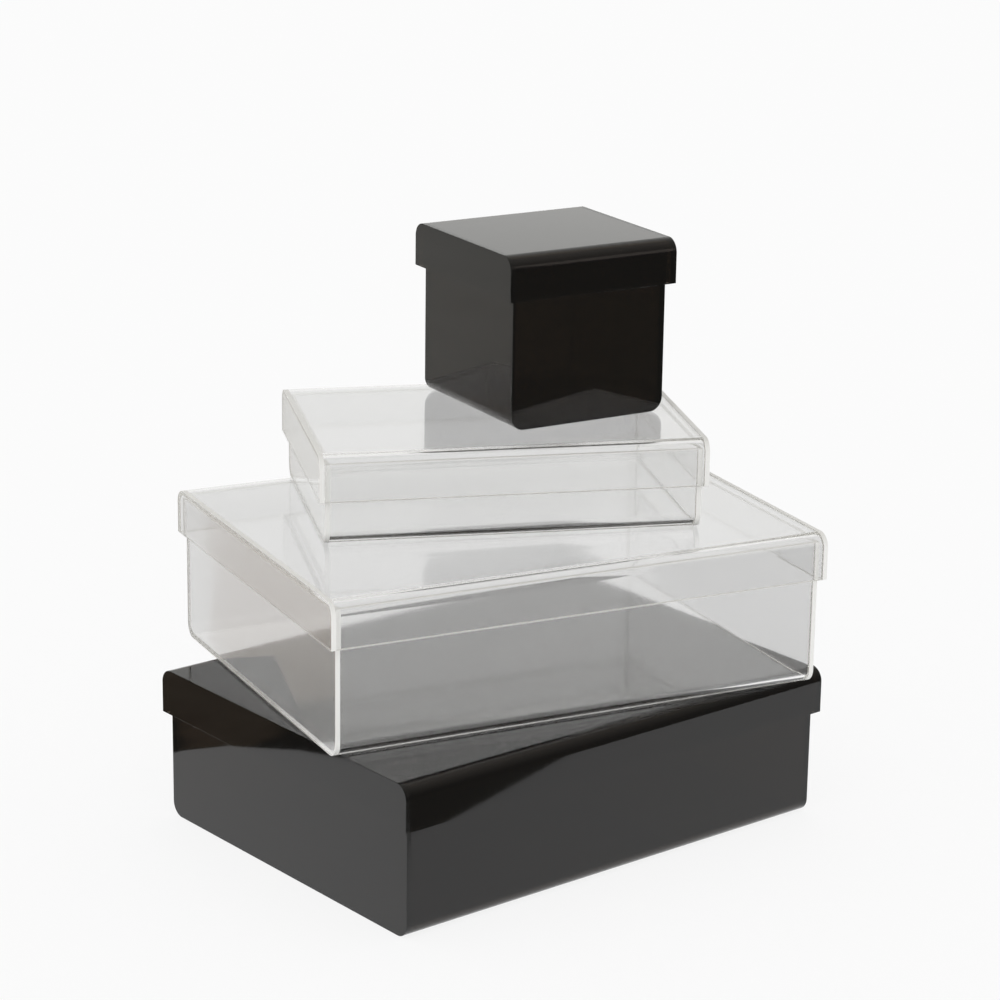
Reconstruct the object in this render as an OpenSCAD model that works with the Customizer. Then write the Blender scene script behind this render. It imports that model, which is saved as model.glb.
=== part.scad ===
// Stack of four lidded acrylic storage boxes: two large, one medium and one small cube.
// Each lid and each base is one sheet bent into a channel, closed by two flat end plates
// whose rounded corners follow the bends. The lid's bends seat on the base's wall tops.
// Millimetres, +Z up. Origin: middle of the bottom box's underside, X along its length.

/* [Sheet] */
// Thickness of the acrylic sheet that every piece is cut from
sheet = 3; // [2:0.5:4]
// Outside radius of every bend, made over one heated bar
bend = 9; // [6:0.5:12]
// Height left free wherever one piece seats or stands on another
seat_gap = 0.2; // [0.1:0.05:0.4]

/* [Large boxes] */
// Outside length of the large lids, along their bends
large_length = 330; // [300:5:360]
// Outside width of the large lids, across their bends
large_width = 250; // [225:5:280]
// Height of a closed large box
large_height = 97.5; // [80:0.5:130]
// Depth of the large lids' rim, top sheet included
large_rim = 29; // [20:0.5:40]
// Free space between a large lid's rim and its base, each side
large_fit = 1.2; // [0.6:0.1:2]

/* [Medium box] */
// Outside length of the medium lid, along its bends
medium_length = 240; // [215:5:260]
// Outside width of the medium lid, across its bends
medium_width = 165; // [150:5:185]
// Height of the closed medium box
medium_height = 57; // [50:0.5:80]
// Depth of the medium lid's rim, top sheet included
medium_rim = 29; // [20:0.5:36]
// Free space between the medium lid's rim and its base, each side
medium_fit = 0.8; // [0.6:0.1:1.6]

/* [Small box] */
// Outside side of the small lid, square so that it also fits turned a quarter
small_side = 119; // [100:1:135]
// Height of the closed small box
small_height = 110; // [80:1:130]
// Depth of the small lid's rim, top sheet included
small_rim = 28; // [20:0.5:40]
// Free space between the small lid's rim and its base, each side
small_fit = 1.8; // [0.6:0.1:2.4]

/* [Stack] */
// Large clear box: how far along the bottom box its middle stands
large_clear_x = 11.8; // [-20:0.1:20]
// Large clear box: how far across the bottom box its middle stands
large_clear_y = 13.1; // [-20:0.1:20]
// Large clear box: turn against the bottom box, in degrees
large_clear_turn = -13.3; // [-25:0.1:25]
// Medium box: how far along the bottom box its middle stands
medium_x = 21.7; // [-30:0.1:30]
// Medium box: how far across the bottom box its middle stands
medium_y = 32.9; // [-35:0.1:35]
// Medium box: turn against the bottom box, in degrees
medium_turn = -27.7; // [-40:0.1:40]
// Small box: how far along the bottom box its middle stands
small_x = 66.6; // [0:0.1:70]
// Small box: how far across the bottom box its middle stands
small_y = 36.5; // [10:0.1:40]
// Small box: turn of its lid against the bottom box, in degrees
small_turn = -8.9; // [-20:0.1:20]
// Small box: turn of its base under the lid, in degrees
small_base_turn = 90; // [0:90:270]

/* [Hidden] */
$fn = 96;

// One box size is its lid's length and width, its height, its rim's depth and its fit.
large = [large_length, large_width, large_height, large_rim, large_fit];
medium = [medium_length, medium_width, medium_height, medium_rim, medium_fit];
small = [small_side, small_side, small_height, small_rim, small_fit];

// Height of each upper box's underside, above the box that carries it.
clear_z = large_height + seat_gap;
medium_z = clear_z + large_height + seat_gap;
small_z = medium_z + medium_height + seat_gap;

// One place is x, y, height of the underside, turn.
bottom_place = [0, 0, 0, 0];
clear_place = [large_clear_x, large_clear_y, clear_z, large_clear_turn];
medium_place = [medium_x, medium_y, medium_z, medium_turn];
small_place = [small_x, small_y, small_z, small_turn];

smoke_tint = [0.12, 0.11, 0.11, 0.9];
clear_tint = [0.88, 0.9, 0.9, 0.4];

function length_of(size) = size[0];
function width_of(size) = size[1];
function height_of(size) = size[2];
function rim_of(size) = size[3];
function fit_of(size) = size[4];

// The base stands in from the lid by the rim's sheet and the fit, on every side.
function base_length(size) = length_of(size) - 2 * (sheet + fit_of(size));
function base_width(size) = width_of(size) - 2 * (sheet + fit_of(size));

// How far the wall tops stay below the lid's flat underside, because the inside of its
// bends, an arc about a centre one inner radius in from the rim, comes down on them first.
inner_bend = bend - sheet;
function seat_reach(size) = max(0, inner_bend - fit_of(size));
function seat_drop(size) = inner_bend - sqrt(pow(inner_bend, 2) - pow(seat_reach(size), 2));
function base_height(size) = height_of(size) - sheet - seat_drop(size) - seat_gap;

// Outline with both upper corners rounded, hanging down from y = 0.
module shouldered(width, depth, radius) {
    translate([-width / 2, -depth]) square([width, depth - radius]);
    translate([radius - width / 2, -depth]) square([width - 2 * radius, depth]);
    for (side = [-1, 1])
        translate([side * (width / 2 - radius), -radius]) circle(radius);
}

// Outline of a bent sheet: a shouldered one with its inside cut out, open below.
module channel(width, depth) {
    difference() {
        shouldered(width, depth, bend);
        translate([0, -sheet]) shouldered(width - 2 * sheet, depth, inner_bend);
    }
}

// Turns an outline of width and height into a solid that runs along X, about x = 0.
module run(length) {
    rotate([90, 0, 90]) linear_extrude(length, center = true) children();
}

// Sheet bent into a channel that fits between its two end plates, flat side at z = 0.
module bent_sheet(length, width, depth) {
    run(length - 2 * sheet) channel(width, depth);
}

// Flat plate over one end of the channel, on side -1 or 1.
module end_plate(length, width, depth, side) {
    translate([side * (length - sheet) / 2, 0, 0]) run(sheet) shouldered(width, depth, bend);
}

module lid_sheet(size) {
    translate([0, 0, height_of(size)])
        bent_sheet(length_of(size), width_of(size), rim_of(size));
}

module lid_end(size, side) {
    translate([0, 0, height_of(size)])
        end_plate(length_of(size), width_of(size), rim_of(size), side);
}

// A base is the same channel turned over, so its bends are at the floor.
module base_sheet(size) {
    rotate([180, 0, 0]) bent_sheet(base_length(size), base_width(size), base_height(size));
}

module base_end(size, side) {
    rotate([180, 0, 0]) end_plate(base_length(size), base_width(size), base_height(size), side);
}

// Sets a box at its place in the stack, with any further turn about its own middle.
module at(place, turn = 0) {
    translate([place[0], place[1], place[2]]) rotate(place[3] + turn) children();
}

module large_smoke_base_sheet() { color(smoke_tint) at(bottom_place) base_sheet(large); }
module large_smoke_base_left_end() { color(smoke_tint) at(bottom_place) base_end(large, -1); }
module large_smoke_base_right_end() { color(smoke_tint) at(bottom_place) base_end(large, 1); }
module large_smoke_lid_sheet() { color(smoke_tint) at(bottom_place) lid_sheet(large); }
module large_smoke_lid_left_end() { color(smoke_tint) at(bottom_place) lid_end(large, -1); }
module large_smoke_lid_right_end() { color(smoke_tint) at(bottom_place) lid_end(large, 1); }

module large_clear_base_sheet() { color(clear_tint) at(clear_place) base_sheet(large); }
module large_clear_base_left_end() { color(clear_tint) at(clear_place) base_end(large, -1); }
module large_clear_base_right_end() { color(clear_tint) at(clear_place) base_end(large, 1); }
module large_clear_lid_sheet() { color(clear_tint) at(clear_place) lid_sheet(large); }
module large_clear_lid_left_end() { color(clear_tint) at(clear_place) lid_end(large, -1); }
module large_clear_lid_right_end() { color(clear_tint) at(clear_place) lid_end(large, 1); }

module medium_clear_base_sheet() { color(clear_tint) at(medium_place) base_sheet(medium); }
module medium_clear_base_left_end() { color(clear_tint) at(medium_place) base_end(medium, -1); }
module medium_clear_base_right_end() { color(clear_tint) at(medium_place) base_end(medium, 1); }
module medium_clear_lid_sheet() { color(clear_tint) at(medium_place) lid_sheet(medium); }
module medium_clear_lid_left_end() { color(clear_tint) at(medium_place) lid_end(medium, -1); }
module medium_clear_lid_right_end() { color(clear_tint) at(medium_place) lid_end(medium, 1); }

// The small box's lid is on a quarter turn from its base, so their bends cross.
module small_smoke_base_sheet() {
    color(smoke_tint) at(small_place, small_base_turn) base_sheet(small);
}
module small_smoke_base_front_end() {
    color(smoke_tint) at(small_place, small_base_turn) base_end(small, -1);
}
module small_smoke_base_back_end() {
    color(smoke_tint) at(small_place, small_base_turn) base_end(small, 1);
}
module small_smoke_lid_sheet() { color(smoke_tint) at(small_place) lid_sheet(small); }
module small_smoke_lid_left_end() { color(smoke_tint) at(small_place) lid_end(small, -1); }
module small_smoke_lid_right_end() { color(smoke_tint) at(small_place) lid_end(small, 1); }

large_smoke_base_sheet();
large_smoke_base_left_end();
large_smoke_base_right_end();
large_smoke_lid_sheet();
large_smoke_lid_left_end();
large_smoke_lid_right_end();
large_clear_base_sheet();
large_clear_base_left_end();
large_clear_base_right_end();
large_clear_lid_sheet();
large_clear_lid_left_end();
large_clear_lid_right_end();
medium_clear_base_sheet();
medium_clear_base_left_end();
medium_clear_base_right_end();
medium_clear_lid_sheet();
medium_clear_lid_left_end();
medium_clear_lid_right_end();
small_smoke_base_sheet();
small_smoke_base_front_end();
small_smoke_base_back_end();
small_smoke_lid_sheet();
small_smoke_lid_left_end();
small_smoke_lid_right_end();
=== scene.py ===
"""Looks of a stack of four lidded acrylic boxes: two of dark smoke sheet and two of clear.

Every box is a base and a lid, and each of those is one sheet bent to a channel with two flat end
plates glued to its ends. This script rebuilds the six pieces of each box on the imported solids'
own places and sizes, with smooth bends, eased and matt cut edges and joints that light passes. It
gives them their acrylic, and sets up the camera, the pale floor and the room that the gloss mirrors.
"""

import logging
import math
from dataclasses import dataclass
from enum import Enum, IntEnum

import bpy
import numpy as np
from mathutils import Matrix, Vector

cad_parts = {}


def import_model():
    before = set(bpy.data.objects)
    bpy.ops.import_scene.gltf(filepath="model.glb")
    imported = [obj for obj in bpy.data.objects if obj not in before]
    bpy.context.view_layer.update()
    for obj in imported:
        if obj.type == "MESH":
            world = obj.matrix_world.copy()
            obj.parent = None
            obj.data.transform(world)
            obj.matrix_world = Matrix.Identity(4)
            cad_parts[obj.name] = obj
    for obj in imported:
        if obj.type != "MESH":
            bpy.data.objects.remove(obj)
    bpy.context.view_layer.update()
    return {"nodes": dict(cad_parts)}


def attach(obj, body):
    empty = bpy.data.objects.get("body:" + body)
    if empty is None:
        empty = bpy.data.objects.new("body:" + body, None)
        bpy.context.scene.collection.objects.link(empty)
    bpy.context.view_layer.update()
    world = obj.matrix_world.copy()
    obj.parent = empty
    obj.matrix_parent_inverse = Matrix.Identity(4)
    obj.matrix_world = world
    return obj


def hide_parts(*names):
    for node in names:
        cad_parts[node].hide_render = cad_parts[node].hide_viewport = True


LOG = logging.getLogger("acrylic_boxes")
MILLIMETRE = 0.001
SHARP_ANGLE = math.radians(40.0)
ANY_BOUNCE = 0.5
RIGHT_ANGLE = 90.0

Paint = tuple[tuple[float, tuple[float, float, float]], ...]
Outline = tuple[tuple[float, float], ...]


class Acrylic(Enum):
    """The two kinds of sheet that the boxes are bent from."""

    SMOKE = "smoke_acrylic"
    CLEAR = "clear_acrylic"


class Surface(IntEnum):
    """The kinds of surface on a piece, in the order of its finishes."""

    FACE = 0
    CUT = 1
    GLUED = 2


class Opening(Enum):
    """Which way a channel's free edges point, as a sign on the height."""

    UP = 1.0
    DOWN = -1.0


@dataclass(frozen=True)
class Stock:
    """The sheet that every piece is cut from, and how it is bent, eased and glued."""

    thickness: float = 3.0 * MILLIMETRE
    bend: float = 9.0 * MILLIMETRE
    edge_round: float = 0.3 * MILLIMETRE
    plate_round: float = 0.2 * MILLIMETRE
    plate_corner: float = 0.4 * MILLIMETRE
    weld: float = 0.02 * MILLIMETRE
    bend_steps: int = 48
    round_steps: int = 4


STOCK = Stock()


@dataclass(frozen=True)
class Axes:
    """A channel's own axes: along its bends, across them, and up."""

    turn: float

    def rows(self) -> np.ndarray:
        """Gives the three axes as the rows of a turn about the vertical.

        Returns:
            One row for each axis.
        """
        angle = math.radians(self.turn)
        cosine, sine = math.cos(angle), math.sin(angle)
        return np.array(((cosine, sine, 0.0), (-sine, cosine, 0.0), (0.0, 0.0, 1.0)))

    def extent(self, node: bpy.types.Object) -> tuple[np.ndarray, np.ndarray]:
        """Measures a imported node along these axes.

        Args:
            node: The node, whose place is in its mesh.

        Returns:
            Its lowest and highest corner along, across and up, in metres.
        """
        places = np.empty(len(node.data.vertices) * 3, np.float32)
        node.data.vertices.foreach_get("co", places)
        own = places.reshape(-1, 3).astype(float) @ self.rows().T
        return own.min(axis=0), own.max(axis=0)


def arc(centre: tuple[float, float], radius: float, start: float, stop: float, steps: int) -> np.ndarray:
    """Gives points on an arc: the centre plus the radius times the cosine and sine of an angle.

    Args:
        centre: The arc's centre, across and up.
        radius: Its radius.
        start: The first angle in degrees, from across towards up.
        stop: The last angle.
        steps: The number of equal steps from one to the other.

    Returns:
        One row for each point, steps + 1 in all.
    """
    angle = np.radians(np.linspace(start, stop, steps + 1))
    return np.array(centre) + radius * np.stack((np.cos(angle), np.sin(angle)), axis=1)


def new_piece(
    name: str, places: np.ndarray, faces: list[list[int]], slots: np.ndarray, smooth: np.ndarray
) -> bpy.types.Object:
    """Makes a closed piece with its faces outwards, in the finishes of its kinds of surface.

    The faces are turned round together where the sum of the volumes under their triangles comes
    out below zero, because then they point inwards.

    Args:
        name: The piece's name.
        places: The points, in the frame.
        faces: The points of each face in turn.
        slots: For each face, which kind of surface it is.
        smooth: For each face, whether it belongs to a curve.

    Returns:
        The piece, linked to the scene.
    """
    mesh = bpy.data.meshes.new(name)
    mesh.from_pydata(places, [], faces)
    mesh.calc_loop_triangles()
    triangles = np.empty(len(mesh.loop_triangles) * 3, np.int32)
    mesh.loop_triangles.foreach_get("vertices", triangles)
    first, second, third = (places[triangles[k::3]] - places[0] for k in range(3))
    if np.einsum("ij,ij->i", first, np.cross(second, third)).sum() < 0:
        mesh.flip_normals()
    mesh.set_sharp_from_angle(angle=SHARP_ANGLE)
    mesh.polygons.foreach_set("use_smooth", np.asarray(smooth, bool))
    mesh.polygons.foreach_set("material_index", np.asarray(slots, np.int32))
    mesh.update()
    piece = bpy.data.objects.new(name, mesh)
    bpy.context.scene.collection.objects.link(piece)
    return piece


@dataclass(frozen=True)
class BentSheet:
    """The sheet of a base or a lid: a flat panel between two bends and two walls."""

    width: float
    depth: float
    stock: Stock = STOCK

    def _side(self, inset: float, facing: float) -> np.ndarray:
        """Gives one surface of the sheet from one free edge to the other.

        An eased edge is an arc of the edge's round. A bend is an arc about a centre one bend
        radius in from both panels, and the walls and the flat panel are the straight lines
        between the arcs.

        Args:
            inset: How far the surface lies in from the outer one.
            facing: 1 for the outer surface, -1 for the inner one.

        Returns:
            Points across and up, from the left free edge to the right one.
        """
        stock = self.stock
        half, low, round_off = self.width / 2, -self.depth, stock.edge_round
        wall = half - inset
        middle = wall - facing * round_off
        turn_in = half - stock.bend
        radius = stock.bend - inset
        left_stop, right_start = (180.0, 0.0) if facing > 0 else (360.0, 180.0)
        right_stop = right_start - facing * RIGHT_ANGLE
        return np.concatenate(
            (
                arc((-middle, low + round_off), round_off, 270.0, left_stop, stock.round_steps),
                arc((-turn_in, -stock.bend), radius, 180.0, RIGHT_ANGLE, stock.bend_steps),
                arc((turn_in, -stock.bend), radius, RIGHT_ANGLE, 0.0, stock.bend_steps),
                arc((middle, low + round_off), round_off, right_start, right_stop, stock.round_steps),
            )
        )

    def surface(self, length: float) -> tuple[np.ndarray, list[list[int]], np.ndarray, np.ndarray]:
        """Carries the closed outline of the bent sheet along its bends.

        A point is the outline at one parameter and half the length, plus or minus, at the other.
        Along each side of the outline come an eased edge, a wall, a bend, the flat panel, the
        other bend, the other wall, an eased edge and the end of the sheet.

        Args:
            length: How long the sheet is along its bends.

        Returns:
            Points along, across and up, the faces, their kinds and the marks of curves.
        """
        outer = self._side(0.0, 1.0)
        inner = self._side(self.stock.thickness, -1.0)
        loop = np.concatenate((outer, inner[::-1]))
        count, half = len(loop), len(outer)
        stations = np.repeat((-length / 2, length / 2), count)
        places = np.column_stack((stations, np.tile(loop, (2, 1))))
        here = np.arange(count)
        after = np.roll(here, -1)
        swept = np.stack((here, after, after + count, here + count), axis=1)
        rung = np.arange(half - 1)
        cap = np.stack((rung, rung + 1, count - 2 - rung, count - 1 - rung), axis=1)
        bend, eased, caps = self.stock.bend_steps, self.stock.round_steps, 2 * len(cap)
        side = np.repeat((Surface.CUT, Surface.FACE, Surface.CUT), (eased, 2 * bend + 3, eased + 1))
        curved = np.repeat((False, True, False, True, False), (eased + 1, bend, 1, bend, eased + 2))
        faces = np.concatenate((swept, cap[:, ::-1], cap + count)).tolist()
        slots = np.concatenate((np.tile(side, 2), np.full(caps, Surface.GLUED)))
        return places, faces, slots, np.concatenate((np.tile(curved, 2), np.zeros(caps, bool)))


@dataclass(frozen=True)
class EndPlate:
    """A flat plate over one end of a bent sheet, with two corners that follow its bends."""

    width: float
    depth: float
    stock: Stock = STOCK

    def surface(self, length: float) -> tuple[np.ndarray, list[list[int]], np.ndarray, np.ndarray]:
        """Carries the plate's outline through its thickness, drawn in where its face is eased.

        The outline is four corner arcs and two points where the sheet's walls end. At an angle of
        the easing from 0 to 90 degrees, it is drawn in by the round times 1 less the sine, and it
        stands in from the plate's face by the round times 1 less the cosine. On the other face,
        the strip that the sheet is glued to lies between the outline and the same corner arcs with
        the sheet's thickness taken off their radius.

        Args:
            length: The plate's thickness, along the bends.

        Returns:
            Points along, across and up, the faces, their kinds and the marks of curves.
        """
        stock = self.stock
        half, low = self.width / 2, -self.depth
        wall = half - stock.thickness
        turn_in = half - stock.bend
        corner_in = half - stock.plate_corner
        corners = (
            (-turn_in, -stock.bend, stock.bend, 180.0, RIGHT_ANGLE, stock.bend_steps),
            (turn_in, -stock.bend, stock.bend, RIGHT_ANGLE, 0.0, stock.bend_steps),
            (corner_in, low + stock.plate_corner, stock.plate_corner, 360.0, 270.0, stock.round_steps),
            (wall, low, 0.0, 270.0, 270.0, 0),
            (-wall, low, 0.0, 270.0, 270.0, 0),
            (-corner_in, low + stock.plate_corner, stock.plate_corner, 270.0, 180.0, stock.round_steps),
        )
        outline = np.concatenate([arc((across, up), *bow) for across, up, *bow in corners])
        outward = np.concatenate([arc((0.0, 0.0), 1.0, *bow) for _, _, _, *bow in corners])
        easing = np.radians(np.linspace(0.0, RIGHT_ANGLE, stock.round_steps + 1))
        drawn_in = stock.plate_round * (1.0 - np.sin(easing))
        stood_in = stock.plate_round * (1.0 - np.cos(easing))
        rings = np.append(drawn_in, 0.0)
        along = np.append(stood_in - length / 2, length / 2)
        grid = outline[None, :, :] - rings[:, None, None] * outward[None, :, :]
        count = len(outline)
        inner_bend = stock.bend - stock.thickness
        inner = np.concatenate(
            (
                arc((-turn_in, -stock.bend), inner_bend, 180.0, RIGHT_ANGLE, stock.bend_steps),
                arc((turn_in, -stock.bend), inner_bend, RIGHT_ANGLE, 0.0, stock.bend_steps),
            )
        )
        bends = len(inner)
        right_wall_end = bends + stock.round_steps + 1
        left_wall_end = right_wall_end + 1
        places = np.concatenate(
            (
                np.column_stack((np.repeat(along, count), grid.reshape(-1, 2))),
                np.column_stack((np.full(bends, length / 2), inner)),
            )
        )
        start = np.arange((len(rings) - 1) * count)
        after = start // count * count + (start + 1) % count
        swept = np.stack((start, after, after + count, start + count), axis=1).tolist()
        rim = (len(rings) - 1) * count + np.arange(count)
        inside = len(rings) * count + np.arange(bends)
        glued = np.stack((rim[: bends - 1], rim[1:bends], inside[1:], inside[:-1]), axis=1).tolist()
        glued.append([*rim[bends - 1 : left_wall_end], inside[-1]])
        glued.append([*rim[left_wall_end:], rim[0], inside[0]])
        bare = [*inside, rim[right_wall_end], rim[left_wall_end]]
        faces = swept + glued + [np.arange(count)[::-1].tolist(), bare]
        slots = np.repeat((Surface.CUT, Surface.GLUED, Surface.FACE), (len(swept), len(glued), 2))
        return places, faces, slots, np.zeros(len(faces), bool)


@dataclass(frozen=True)
class BoxHalf:
    """A base or a lid: one bent sheet and two end plates, glued."""

    name: str
    turn: float
    opening: Opening
    ends: tuple[str, str]

    def build(
        self, nodes: dict[str, bpy.types.Object], acrylic: Acrylic, finishes: list[bpy.types.Material]
    ) -> None:
        """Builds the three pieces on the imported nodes' places and dresses them.

        The sheet is longer than its node by the weld at each end, so that it reaches into the
        plates that are glued to it and light passes the joint. A plate is made with its glued
        side towards the higher end, so the plate at that end is turned about.

        Args:
            nodes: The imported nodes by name.
            acrylic: Which sheet the half is cut from.
            finishes: The materials of that sheet's kinds of surface, in their order.
        """
        for part, inwards in (("sheet", 1.0), (self.ends[0], 1.0), (self.ends[1], -1.0)):
            name = f"{self.name}_{part}"
            axes = Axes(self.turn)
            low, high = axes.extent(nodes[name])
            size = high - low
            form = BentSheet if part == "sheet" else EndPlate
            length = size[0] + (2 * STOCK.weld if part == "sheet" else 0.0)
            own, faces, slots, smooth = form(size[1], size[2]).surface(length)
            middle = (low + high) / 2
            flat_side = high[2] if self.opening is Opening.DOWN else low[2]
            own *= (inwards, 1.0, -self.opening.value)
            own += (middle[0], middle[1], flat_side)
            piece = new_piece(f"{name}_acrylic", own @ axes.rows(), faces, slots, smooth)
            for finish in finishes:
                piece.data.materials.append(finish)
            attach(piece, self.name)
            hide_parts(name)
            LOG.info("built %s in %s", name, acrylic.value)


@dataclass(frozen=True)
class LiddedBox:
    """One box of the stack: a base, and a lid that hangs over it."""

    name: str
    acrylic: Acrylic
    turn: float
    base_turn: float = 0.0
    base_ends: tuple[str, str] = ("left_end", "right_end")
    lid_ends: tuple[str, str] = ("left_end", "right_end")

    def build(self, nodes: dict[str, bpy.types.Object], finishes: list[bpy.types.Material]) -> None:
        """Builds the base and then the lid.

        Args:
            nodes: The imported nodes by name.
            finishes: The materials of the sheet's kinds of surface, in their order.
        """
        base = BoxHalf(f"{self.name}_base", self.turn + self.base_turn, Opening.UP, self.base_ends)
        lid = BoxHalf(f"{self.name}_lid", self.turn, Opening.DOWN, self.lid_ends)
        for half in (base, lid):
            half.build(nodes, self.acrylic, finishes)


def node_group(
    name: str, inputs: dict[str, str], outputs: dict[str, str]
) -> tuple[bpy.types.ShaderNodeTree, bool]:
    """Finds a shader node group or makes an empty one.

    Args:
        name: The group's name.
        inputs: The kind of each input socket, by its name.
        outputs: The kind of each output socket.

    Returns:
        The group, and whether it is new and still has to be filled.
    """
    if name in bpy.data.node_groups:
        return bpy.data.node_groups[name], False
    group = bpy.data.node_groups.new(name, "ShaderNodeTree")
    for way, sockets in (("INPUT", inputs), ("OUTPUT", outputs)):
        for socket, kind in sockets.items():
            group.interface.new_socket(socket, in_out=way, socket_type=f"NodeSocket{kind}")
    return group, True


def worked_out(
    tree: bpy.types.NodeTree, operation: str, *terms: bpy.types.NodeSocket | float
) -> bpy.types.NodeSocket:
    """Adds a Math node whose inputs are sockets or plain numbers.

    Args:
        tree: The nodes that it joins.
        operation: What it works out.
        terms: Its inputs in turn.

    Returns:
        Its result.
    """
    node = tree.nodes.new("ShaderNodeMath")
    node.operation = operation
    for socket, term in zip(node.inputs, terms):
        if isinstance(term, bpy.types.NodeSocket):
            tree.links.new(term, socket)
        else:
            socket.default_value = term
    return node.outputs["Value"]


def sheet_waves(detail: float = 1.0, roughness: float = 0.3) -> bpy.types.ShaderNodeTree:
    """Gives the group of slow waves that bending leaves in sheet.

    Args:
        detail: How many finer waves lie on the slow ones.
        roughness: How strong they are.

    Returns:
        A group from a place and a wave's size in metres to a height from 0 to 1.
    """
    group, new = node_group("sheet_waves", {"Place": "Vector", "Size": "Float"}, {"Height": "Float"})
    if new:
        taken, given = group.nodes.new("NodeGroupInput"), group.nodes.new("NodeGroupOutput")
        noise = group.nodes.new("ShaderNodeTexNoise")
        noise.inputs["Detail"].default_value = detail
        noise.inputs["Roughness"].default_value = roughness
        group.links.new(taken.outputs["Place"], noise.inputs["Vector"])
        group.links.new(worked_out(group, "DIVIDE", 1.0, taken.outputs["Size"]), noise.inputs["Scale"])
        group.links.new(noise.outputs["Fac"], given.inputs["Height"])
    return group


def handling_haze(
    full: float = 0.8,
    grains: float = 7.0,
    patch_detail: float = 3.0,
    grain_detail: float = 4.0,
    swirl: float = 0.6,
) -> bpy.types.ShaderNodeTree:
    """Gives the group of the faint haze that wiping and handling leave on gloss.

    The haze is a coarse noise, kept only above a threshold, times a fine one.

    Args:
        full: The coarse noise at which the haze is whole.
        grains: How many grains go to a patch's width.
        patch_detail: The levels of the coarse noise.
        grain_detail: The levels of the fine one.
        swirl: How far wiping has dragged the grains.

    Returns:
        A group from a place, a patch's size in metres and a threshold to a mask from 0 to 1.
    """
    group, new = node_group(
        "handling_haze", {"Place": "Vector", "Size": "Float", "Threshold": "Float"}, {"Mask": "Float"}
    )
    if new:
        taken, given = group.nodes.new("NodeGroupInput"), group.nodes.new("NodeGroupOutput")
        per_metre = worked_out(group, "DIVIDE", 1.0, taken.outputs["Size"])
        patches, grain = group.nodes.new("ShaderNodeTexNoise"), group.nodes.new("ShaderNodeTexNoise")
        patches.inputs["Detail"].default_value = patch_detail
        grain.inputs["Detail"].default_value = grain_detail
        grain.inputs["Distortion"].default_value = swirl
        group.links.new(taken.outputs["Place"], patches.inputs["Vector"])
        group.links.new(taken.outputs["Place"], grain.inputs["Vector"])
        group.links.new(per_metre, patches.inputs["Scale"])
        group.links.new(worked_out(group, "MULTIPLY", per_metre, grains), grain.inputs["Scale"])
        kept = group.nodes.new("ShaderNodeMapRange")
        kept.inputs["From Max"].default_value = full
        group.links.new(patches.outputs["Fac"], kept.inputs["Value"])
        group.links.new(taken.outputs["Threshold"], kept.inputs["From Min"])
        mask = worked_out(group, "MULTIPLY", kept.outputs["Result"], grain.outputs["Fac"])
        group.links.new(mask, given.inputs["Mask"])
    return group


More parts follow.
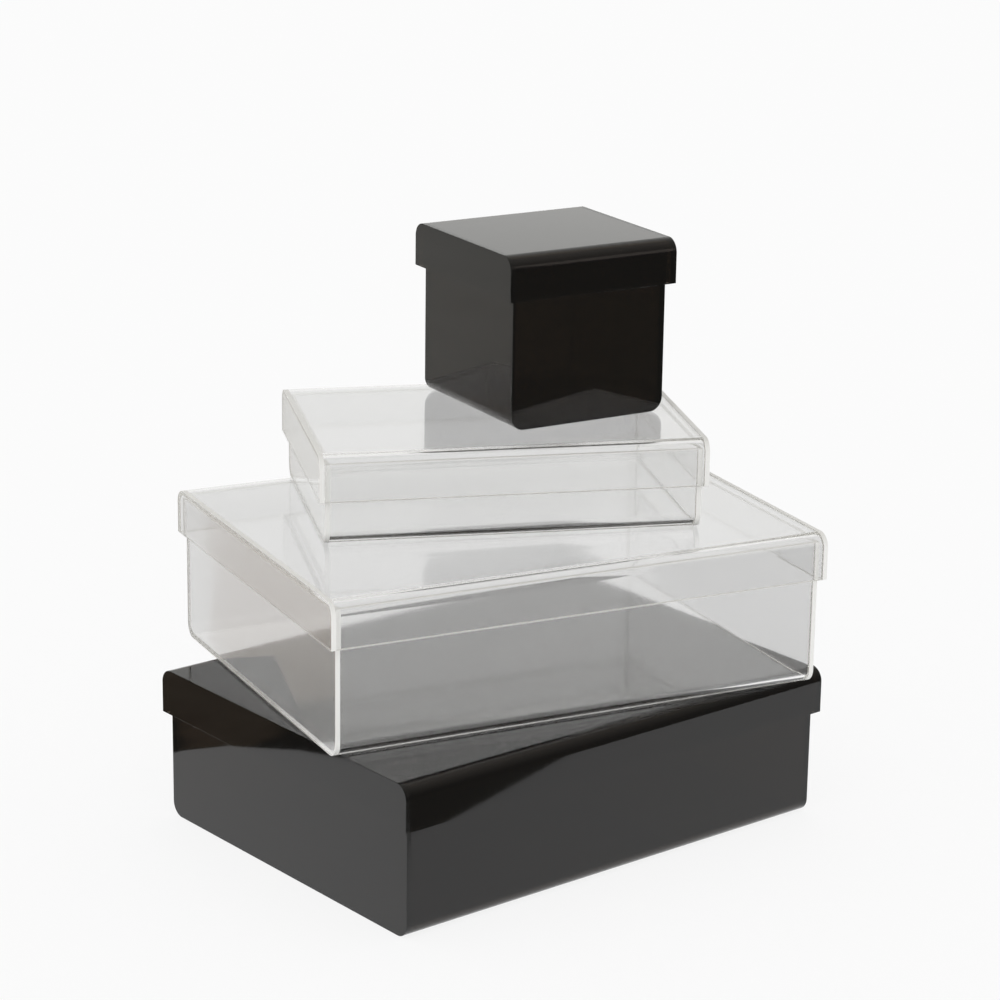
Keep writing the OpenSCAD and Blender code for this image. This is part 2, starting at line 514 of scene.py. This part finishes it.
@dataclass(frozen=True)
class AcrylicFinish:
    """One surface of acrylic sheet: its polished faces, or its scraped cut edges.

    The sheet bends and mirrors light as a solid of its refractive index does. Two faces together
    let the face tint through and the sheet's thickness the core tint. The faces wave a little from
    the heat of bending and carry a faint haze. A clear cut edge is matt and pale with the light
    that comes to it along the sheet. One that faces up is greyer by a painted shade: its colour
    is mixed towards a grey tint by how far it faces up.
    """

    name: str
    face_tint: tuple[float, float, float]
    core_tint: tuple[float, float, float] | None = None
    # Painted shade: the greyer colour mixed into a cut edge by how far it faces up.
    up_facing_painted_shade: tuple[float, float, float] | None = None
    clearness: float = 1.0
    roughness: float = 0.0
    haze_roughness: float = 0.02
    haze_size: float = 35 * MILLIMETRE
    haze_threshold: float = 0.5
    refractive_index: float = 1.49
    wave_height: float = 0.006 * MILLIMETRE
    wave_size: float = 60 * MILLIMETRE

    def material(self) -> bpy.types.Material:
        """Builds the material.

        Returns:
            The material, made of plain shader nodes.
        """
        material = bpy.data.materials.new(self.name)
        material.use_nodes = True
        tree = material.node_tree
        sheet = tree.nodes["Principled BSDF"]
        sheet.inputs["Base Color"].default_value = (*self.face_tint, 1.0)
        sheet.inputs["IOR"].default_value = self.refractive_index
        sheet.inputs["Transmission Weight"].default_value = self.clearness
        place = tree.nodes.new("ShaderNodeTexCoord").outputs["Object"]
        tree.links.new(self._hazy_roughness(tree, place), sheet.inputs["Roughness"])
        tree.links.new(self._wavy_normal(tree, place), sheet.inputs["Normal"])
        # A cut edge that faces up gets a painted shade, greyer by how far it faces up.
        if self.up_facing_painted_shade:
            tree.links.new(self._painted_shade_by_facing(tree), sheet.inputs["Base Color"])
        output = tree.nodes["Material Output"]
        tree.links.new(self._lamp_passing(tree, sheet), output.inputs["Surface"])
        if self.core_tint:
            tree.links.new(self._core(tree), output.inputs["Volume"])
        return material

    def _hazy_roughness(
        self, tree: bpy.types.NodeTree, place: bpy.types.NodeSocket
    ) -> bpy.types.NodeSocket:
        """Adds the haze to the surface's own roughness.

        Args:
            tree: The material's nodes.
            place: Where on the piece a point is.

        Returns:
            The roughness that the shader takes.
        """
        haze = tree.nodes.new("ShaderNodeGroup")
        haze.node_tree = handling_haze()
        haze.inputs["Size"].default_value = self.haze_size
        haze.inputs["Threshold"].default_value = self.haze_threshold
        tree.links.new(place, haze.inputs["Place"])
        return worked_out(tree, "MULTIPLY_ADD", haze.outputs["Mask"], self.haze_roughness, self.roughness)

    def _painted_shade_by_facing(self, tree: bpy.types.NodeTree) -> bpy.types.NodeSocket:
        """Mixes a painted shade into a cut edge's colour: a greyer tint, more the further it faces up.

        The share is the upward part of the surface's own normal, and none where the edge is seen
        from inside the sheet.

        Args:
            tree: The material's nodes.

        Returns:
            The colour that the shader takes.
        """
        facing = tree.nodes.new("ShaderNodeSeparateXYZ")
        tree.links.new(tree.nodes.new("ShaderNodeTexCoord").outputs["Normal"], facing.inputs["Vector"])
        inside = tree.nodes.new("ShaderNodeNewGeometry").outputs["Backfacing"]
        tint = tree.nodes.new("ShaderNodeMix")
        tint.data_type = "RGBA"
        tree.links.new(worked_out(tree, "SUBTRACT", facing.outputs["Z"], inside), tint.inputs["Factor"])
        colours = {socket.identifier: socket for socket in (*tint.inputs, *tint.outputs)}
        colours["A_Color"].default_value = (*self.face_tint, 1.0)
        colours["B_Color"].default_value = (*self.up_facing_painted_shade, 1.0)
        return colours["Result_Color"]

    def _wavy_normal(
        self, tree: bpy.types.NodeTree, place: bpy.types.NodeSocket
    ) -> bpy.types.NodeSocket:
        """Adds the slow waves of heated sheet, as a normal.

        Args:
            tree: The material's nodes.
            place: Where on the piece a point is.

        Returns:
            The normal that the shader takes.
        """
        waves = tree.nodes.new("ShaderNodeGroup")
        waves.node_tree = sheet_waves()
        waves.inputs["Size"].default_value = self.wave_size
        bump = tree.nodes.new("ShaderNodeBump")
        bump.inputs["Distance"].default_value = self.wave_height
        tree.links.new(place, waves.inputs["Place"])
        tree.links.new(waves.outputs["Height"], bump.inputs["Height"])
        return bump.outputs["Normal"]

    def _lamp_passing(self, tree: bpy.types.NodeTree, sheet: bpy.types.Node) -> bpy.types.NodeSocket:
        """Lets the light that makes shadows through the sheet, dimmed once at each face.

        Args:
            tree: The material's nodes.
            sheet: The shader of the sheet.

        Returns:
            The shader that the surface takes.
        """
        path = tree.nodes.new("ShaderNodeLightPath")
        through = tree.nodes.new("ShaderNodeBsdfTransparent")
        through.inputs["Color"].default_value = (*(math.sqrt(part) for part in self.face_tint), 1.0)
        either = tree.nodes.new("ShaderNodeMixShader")
        tree.links.new(path.outputs["Is Shadow Ray"], either.inputs[0])
        tree.links.new(sheet.outputs["BSDF"], either.inputs[1])
        tree.links.new(through.outputs["BSDF"], either.inputs[2])
        return either.outputs["Shader"]

    def _core(self, tree: bpy.types.NodeTree) -> bpy.types.NodeSocket:
        """Adds the tint that grows with the way through the sheet.

        The share taken off for a metre is the logarithm of the core tint over the thickness. The
        shader takes off the density times 1 less its colour.

        Args:
            tree: The material's nodes.

        Returns:
            The volume that the material takes.
        """
        taken = [-math.log(part) / STOCK.thickness for part in self.core_tint]
        density = max(taken)
        core = tree.nodes.new("ShaderNodeVolumeAbsorption")
        core.inputs["Color"].default_value = (*(1.0 - part / density for part in taken), 1.0)
        core.inputs["Density"].default_value = density
        return core.outputs["Volume"]


@dataclass(frozen=True)
class GluedFinish:
    """A face that solvent has welded to another, so that light passes it as if it weren't there."""

    name: str

    def material(self) -> bpy.types.Material:
        """Builds the material.

        Returns:
            The material, with nothing left to see.
        """
        material = bpy.data.materials.new(self.name)
        material.use_nodes = True
        material.node_tree.nodes["Principled BSDF"].inputs["Alpha"].default_value = 0.0
        return material


@dataclass
class Camera:
    """The photograph's camera, placed by a perspective fit to the boxes' edges."""

    place: tuple[float, float, float] = (-1.2131, -1.4820, 0.7894)
    heading: float = math.radians(39.38)
    pitch: float = math.radians(16.899)
    roll: float = math.radians(0.835)
    sensor_width: float = 36.0
    focal_length: float = 116.8
    far_limit: float = 60.0

    def build(self) -> None:
        """Makes the camera and puts it to use."""
        level = Vector((math.sin(self.heading), math.cos(self.heading), 0.0))
        above = Vector((0.0, 0.0, 1.0))
        ahead = level * math.cos(self.pitch) - above * math.sin(self.pitch)
        upright = level * math.sin(self.pitch) + above * math.cos(self.pitch)
        aside = ahead.cross(upright)
        right = aside * math.cos(self.roll) + upright * math.sin(self.roll)
        up = upright * math.cos(self.roll) - aside * math.sin(self.roll)
        lens = bpy.data.cameras.new("camera")
        lens.sensor_width = self.sensor_width
        lens.lens = self.focal_length
        lens.clip_end = self.far_limit
        camera = bpy.data.objects.new("camera", lens)
        turn = Matrix((right, up, -ahead)).transposed().to_4x4()
        camera.matrix_world = Matrix.Translation(self.place) @ turn
        bpy.context.scene.collection.objects.link(camera)
        bpy.context.scene.camera = camera
        LOG.info("placed the camera")


@dataclass(frozen=True)
class MirroredPaint:
    """The colour of a part of the room that only the gloss shows.

    A ray that no gloss has turned passes through it, so the sheets show the white backdrop behind
    them and the room in front of them. Where the gloss lies behind the face that the ray came in
    by, only the inner share of the paint shows, because the light inside a sheet comes from all
    round.
    """

    name: str
    stops: Paint
    across: int = 2
    reach: float = 1.0
    mottle: float = 0.0
    mottle_size: float = 0.1
    mottle_detail: float = 4.0
    inner_share: float = 0.4

    def material(self) -> bpy.types.Material:
        """Builds the material from colours that change along one axis, with some mottle.

        The colours run from the origin to the reach along the axis, counted from 0 for X.

        Returns:
            The material.
        """
        material = bpy.data.materials.new(self.name)
        material.use_nodes = True
        tree = material.node_tree
        tree.nodes.remove(tree.nodes["Principled BSDF"])
        place = tree.nodes.new("ShaderNodeTexCoord").outputs["Object"]
        parts = tree.nodes.new("ShaderNodeSeparateXYZ")
        tree.links.new(place, parts.inputs["Vector"])
        along = worked_out(tree, "DIVIDE", parts.outputs[self.across], self.reach)
        cloud = tree.nodes.new("ShaderNodeTexNoise")
        cloud.inputs["Scale"].default_value = 1.0 / self.mottle_size
        cloud.inputs["Detail"].default_value = self.mottle_detail
        tree.links.new(place, cloud.inputs["Vector"])
        shift = worked_out(tree, "MULTIPLY_ADD", cloud.outputs["Fac"], self.mottle, -self.mottle / 2)
        ramp = tree.nodes.new("ShaderNodeValToRGB")
        tree.links.new(worked_out(tree, "ADD", along, shift), ramp.inputs["Fac"])
        line = ramp.color_ramp
        for k, (position, colour) in enumerate(self.stops):
            stop = line.elements[k] if k < 2 else line.elements.new(position)
            stop.position = position
            stop.color = (*colour, 1.0)
        glow = tree.nodes.new("ShaderNodeEmission")
        tree.links.new(ramp.outputs["Color"], glow.inputs["Color"])
        path = tree.nodes.new("ShaderNodeLightPath")
        either = tree.nodes.new("ShaderNodeMixShader")
        turned = worked_out(tree, "GREATER_THAN", path.outputs["Glossy Depth"], ANY_BOUNCE)
        outside = worked_out(tree, "LESS_THAN", path.outputs["Transmission Depth"], ANY_BOUNCE)
        share = worked_out(tree, "MAXIMUM", outside, self.inner_share)
        tree.links.new(worked_out(tree, "MULTIPLY", turned, share), either.inputs[0])
        tree.links.new(tree.nodes.new("ShaderNodeBsdfTransparent").outputs["BSDF"], either.inputs[1])
        tree.links.new(glow.outputs["Emission"], either.inputs[2])
        tree.links.new(either.outputs["Shader"], tree.nodes["Material Output"].inputs["Surface"])
        material.cycles.emission_sampling = "NONE"
        return material


ROOM = MirroredPaint(
    "room",
    (
        (0.0, (0.17, 0.165, 0.16)),
        (0.2, (0.21, 0.2, 0.185)),
        (0.5, (0.33, 0.315, 0.285)),
        (0.71, (0.43, 0.41, 0.37)),
        (0.8, (0.5, 0.48, 0.44)),
        (1.0, (0.62, 0.6, 0.55)),
    ),
    reach=6.0,
)
BACKDROP = MirroredPaint(
    "backdrop",
    (
        (0.0, (1.15, 1.15, 1.12)),
        (0.24, (1.1, 1.1, 1.07)),
        (0.3, (0.86, 0.86, 0.84)),
        (0.35, (0.8, 0.8, 0.78)),
        (0.7, (0.8, 0.79, 0.75)),
        (0.86, (0.65, 0.63, 0.58)),
        (1.0, (0.6, 0.58, 0.53)),
    ),
    reach=6.0,
)
WINDOW = MirroredPaint("bright_patch", ((0.0, (0.75, 0.68, 0.62)), (1.0, (0.75, 0.68, 0.62))))
FRONT_FLOOR = MirroredPaint("front_floor", ((0.0, (0.17, 0.165, 0.15)), (1.0, (0.17, 0.165, 0.15))))
SIDE_FLOOR = MirroredPaint(
    "side_floor",
    (
        (0.0, (0.08, 0.075, 0.07)),
        (0.24, (0.10, 0.095, 0.085)),
        (0.27, (0.21, 0.17, 0.13)),
        (0.34, (0.28, 0.23, 0.18)),
        (0.5, (0.37, 0.31, 0.26)),
        (1.0, (0.48, 0.43, 0.39)),
    ),
    across=1,
    mottle=0.5,
    mottle_size=0.12,
    inner_share=1.0,
)
FAR_FLOOR = MirroredPaint(
    "far_floor", ((0.0, (0.5, 0.49, 0.46)), (1.0, (0.75, 0.74, 0.7))), across=1, reach=3.0, mottle=0.6
)
BACK_FLOOR = MirroredPaint(
    "back_floor", ((0.0, (0.6, 0.59, 0.57)), (1.0, (0.7, 0.69, 0.66))), across=1, reach=2.0, mottle=0.4
)


@dataclass(frozen=True)
class Dome:
    """A patch of the room round the stack, part of a sphere about the origin.

    It spans azimuths, from +Y towards +X, and elevations above the floor, both in degrees.
    """

    name: str
    paint: MirroredPaint
    azimuths: tuple[float, float]
    elevations: tuple[float, float]
    radius: float = 6.0
    step: float = 4.0

    def surface(self) -> tuple[np.ndarray, list[list[int]]]:
        """Works out the patch.

        A point is the radius times the sine of the azimuth and the cosine of the elevation, the
        cosine of both, and the sine of the elevation. A face spans about one step.

        Returns:
            The points and the faces.
        """
        rounds, rises = (
            np.radians(np.linspace(*span, int(abs(span[1] - span[0]) / self.step) + 2))
            for span in (self.azimuths, self.elevations)
        )
        azimuth, elevation = np.meshgrid(rounds, rises)
        level = np.cos(elevation)
        towards = (np.sin(azimuth) * level, np.cos(azimuth) * level, np.sin(elevation))
        places = self.radius * np.stack(towards, axis=-1)
        index = np.arange(azimuth.size).reshape(azimuth.shape)
        faces = np.stack((index[:-1, :-1], index[:-1, 1:], index[1:, 1:], index[1:, :-1]), axis=-1)
        return places.reshape(-1, 3), faces.reshape(-1, 4).tolist()


@dataclass(frozen=True)
class FloorCard:
    """A part of the floor that only the gloss shows, as far as its corners reach."""

    name: str
    paint: MirroredPaint
    outline: Outline
    height: float = 1.0 * MILLIMETRE

    def surface(self) -> tuple[np.ndarray, list[list[int]]]:
        """Lays the corners at the card's height, and one face on them."""
        count = len(self.outline)
        return np.column_stack((self.outline, np.full(count, self.height))), [list(range(count))]


PAPER_SIDE = ((-0.314, 0.121), (-0.295, 0.159), (-0.265, 0.19), (-0.225, 0.205), (-0.195, 0.21))
PAPER_BACK = ((-0.17, 0.3), (-0.165, 0.43), (-0.211, 0.723), (-0.25, 0.95))
SIDE_CORNERS = ((-3.0, 0.95), (-3.0, 0.121))
FAR_CORNERS = ((-0.25, 0.95), (-0.6, 3.0), (-4.0, 3.0), (-3.0, 0.95))
BACK_CORNERS = ((-0.6, 3.0), (2.5, 3.0), (2.5, 0.3))
FRONT_CORNERS = ((-0.26, -0.183), (7.0, -2.43), (7.0, -7.0), (-7.0, -7.0))
MIRRORED = (
    Dome("room_round", ROOM, (85.0, 353.0), (0.0, 90.0)),
    Dome("backdrop", BACKDROP, (-7.0, 85.0), (8.0, 90.0)),
    Dome("bright_patch", WINDOW, (148.0, 158.0), (10.0, 28.0), radius=5.8),
    FloorCard("front_floor", FRONT_FLOOR, FRONT_CORNERS),
    FloorCard("side_floor", SIDE_FLOOR, PAPER_SIDE + PAPER_BACK + SIDE_CORNERS),
    FloorCard("far_floor", FAR_FLOOR, FAR_CORNERS),
    FloorCard("back_floor", BACK_FLOOR, PAPER_BACK + BACK_CORNERS),
)


@dataclass
class Studio:
    """The pale floor, the even light all round, and the room that the gloss mirrors."""

    mirrored: tuple[Dome | FloorCard, ...] = MIRRORED
    floor_reach: float = 8.0
    floor_drop: float = 0.2 * MILLIMETRE
    floor_colour: float = 0.78
    floor_glow: float = 0.85
    floor_glow_through: float = 0.1
    light: float = 1.0
    inner_bounces: int = 200

    def build(self) -> None:
        """Makes the floor, the room and the light."""
        self._floor()
        for part in self.mirrored:
            self._mirrored_only(self._staged(part.name, *part.surface(), part.paint.material()))
        self._world()
        cycles = bpy.context.scene.cycles
        cycles.blur_glossy = 0.0
        cycles.max_bounces = self.inner_bounces
        cycles.transmission_bounces = self.inner_bounces
        cycles.glossy_bounces = self.inner_bounces
        cycles.transparent_max_bounces = self.inner_bounces
        bpy.context.scene.view_settings.view_transform = "Standard"
        LOG.info("set up the studio")

    def _staged(
        self, name: str, places: np.ndarray, faces: list[list[int]], material: bpy.types.Material
    ) -> bpy.types.Object:
        """Makes a piece of the studio.

        Args:
            name: The piece's name.
            places: Its points, in metres.
            faces: The points of each face in turn.
            material: Its material.

        Returns:
            The piece.
        """
        mesh = bpy.data.meshes.new(name)
        mesh.from_pydata(places, [], faces)
        mesh.materials.append(material)
        piece = bpy.data.objects.new(name, mesh)
        bpy.context.scene.collection.objects.link(piece)
        return piece

    def _mirrored_only(self, piece: bpy.types.Object) -> None:
        """Hides a piece of the room from the camera, the light and the shadows.

        Args:
            piece: The piece.
        """
        piece.visible_camera = False
        piece.visible_diffuse = False
        piece.visible_shadow = False
        piece.visible_volume_scatter = False

    def _floor(self) -> None:
        """Makes the floor, a wide pale sheet that takes the stack's shadow.

        The camera sees it part lit and part glowing, which keeps a pale shadow on white. Through
        the sheets nearly all of it is its own lit colour, a paler grey, as in the photograph. A
        ray that the gloss has turned sees it white.
        """
        signs = np.array(((-1.0, -1.0), (1.0, -1.0), (1.0, 1.0), (-1.0, 1.0)))
        corners = np.column_stack((signs * self.floor_reach, np.full(len(signs), -self.floor_drop)))
        material = bpy.data.materials.new("floor")
        material.use_nodes = True
        tree = material.node_tree
        matt = tree.nodes["Principled BSDF"]
        matt.inputs["Base Color"].default_value = (*(self.floor_colour,) * 3, 1.0)
        matt.inputs["Roughness"].default_value = 1.0
        matt.inputs["Specular IOR Level"].default_value = 0.0
        path = tree.nodes.new("ShaderNodeLightPath")
        seen = worked_out(tree, "MULTIPLY", path.outputs["Is Camera Ray"], self.floor_glow)
        through = worked_out(tree, "MULTIPLY", path.outputs["Is Transmission Ray"], self.floor_glow_through)
        turned = worked_out(tree, "GREATER_THAN", path.outputs["Glossy Depth"], ANY_BOUNCE)
        mirrored = worked_out(tree, "MULTIPLY", path.outputs["Is Glossy Ray"], turned)
        share = worked_out(tree, "MAXIMUM", worked_out(tree, "MAXIMUM", seen, through), mirrored)
        either = tree.nodes.new("ShaderNodeMixShader")
        tree.links.new(share, either.inputs[0])
        tree.links.new(matt.outputs["BSDF"], either.inputs[1])
        tree.links.new(tree.nodes.new("ShaderNodeEmission").outputs["Emission"], either.inputs[2])
        tree.links.new(either.outputs["Shader"], tree.nodes["Material Output"].inputs["Surface"])
        material.cycles.emission_sampling = "NONE"
        self._staged("floor", corners, [[0, 1, 2, 3]], material)

    def _world(self) -> None:
        """Lights the stack evenly from all round, at a strength where white is white."""
        world = bpy.data.worlds.new("even_light")
        world.use_nodes = True
        sky = world.node_tree.nodes["Background"]
        sky.inputs["Color"].default_value = (1.0, 1.0, 1.0, 1.0)
        sky.inputs["Strength"].default_value = self.light
        bpy.context.scene.world = world


SMOKE_FACE = (0.3, 0.28, 0.26)
SMOKE_CORE = (0.283, 0.243, 0.2)
CLEAR_FACE = (0.957, 0.957, 0.956)
CLEAR_EDGE = (0.98, 0.975, 0.95)
# Painted shade: the greyer colour of a clear cut edge that faces up.
CLEAR_EDGE_PAINTED_SHADE_UP = (0.7, 0.69, 0.66)
FINISHES = {
    Acrylic.SMOKE: (
        AcrylicFinish("smoke_acrylic", SMOKE_FACE, SMOKE_CORE, roughness=0.05),
        AcrylicFinish("smoke_acrylic_cut", SMOKE_FACE, SMOKE_CORE, roughness=0.2),
        AcrylicFinish("smoke_acrylic_glued", SMOKE_FACE, SMOKE_CORE, roughness=0.05),
    ),
    Acrylic.CLEAR: (
        AcrylicFinish("clear_acrylic", CLEAR_FACE, roughness=0.06),
        AcrylicFinish(
            "clear_acrylic_cut",
            CLEAR_EDGE,
            # painted shade on the cut edges that face up
            up_facing_painted_shade=CLEAR_EDGE_PAINTED_SHADE_UP,
            clearness=0.05,
            roughness=0.4,
            haze_roughness=0.3,
        ),
        GluedFinish("clear_acrylic_glued"),
    ),
}
STACK = (
    LiddedBox("large_smoke", Acrylic.SMOKE, 0.0),
    LiddedBox("large_clear", Acrylic.CLEAR, -13.3),
    LiddedBox("medium_clear", Acrylic.CLEAR, -27.7),
    LiddedBox("small_smoke", Acrylic.SMOKE, -8.9, base_turn=90.0, base_ends=("front_end", "back_end")),
)


def main() -> None:
    """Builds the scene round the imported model."""
    logging.basicConfig(level=logging.INFO)
    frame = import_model()
    Camera().build()
    Studio().build()
    materials = {acrylic: [finish.material() for finish in kinds] for acrylic, kinds in FINISHES.items()}
    for box in STACK:
        box.build(frame["nodes"], materials[box.acrylic])


if __name__ == "__main__":
    main()
